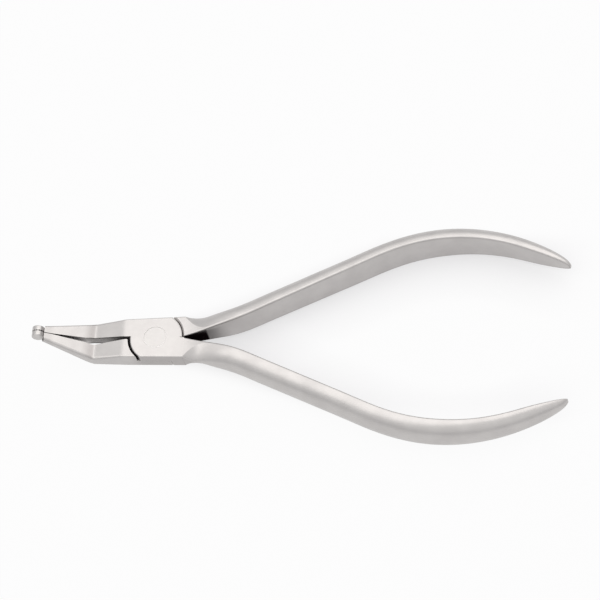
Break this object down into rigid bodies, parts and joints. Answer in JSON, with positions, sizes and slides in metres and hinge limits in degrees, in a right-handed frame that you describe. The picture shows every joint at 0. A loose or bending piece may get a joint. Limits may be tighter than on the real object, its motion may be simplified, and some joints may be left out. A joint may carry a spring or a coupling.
{
  "type": "orthodontic pliers",
  "caption": "Angled orthodontic utility pliers with bent beaks, round serrated tip pads, a riveted lap joint and long bowed handles, for holding and bending archwire.",
  "frame": {"origin": "on the pivot axis, at the flat rear face of the joint", "axes": "+X along the tool towards the handle ends, +Y from the front half's handle towards the rear half's handle, +Z along the pivot towards the front face and the raised beak tips"},
  "size_m": [0.1341, 0.0586, 0.0123],
  "materials": {
    "satin_steel": "satin, finely blasted",
    "rivet_steel": "satin, ground flush",
    "pad_metal": "polished"
  },
  "bodies": {
    "rear": {"rear_half": "satin_steel", "pivot_rivet": "rivet_steel", "rear_tip_pad": "pad_metal"},
    "front": {"front_half": "satin_steel", "front_tip_pad": "pad_metal"}
  },
  "joints": [
    {"name": "jaw_pivot", "type": "hinge", "parent": "rear", "child": "front", "pos_m": [0, 0, 0.0024], "axis": [0, 0, -1], "range_deg": [0, 30]}
  ]
}
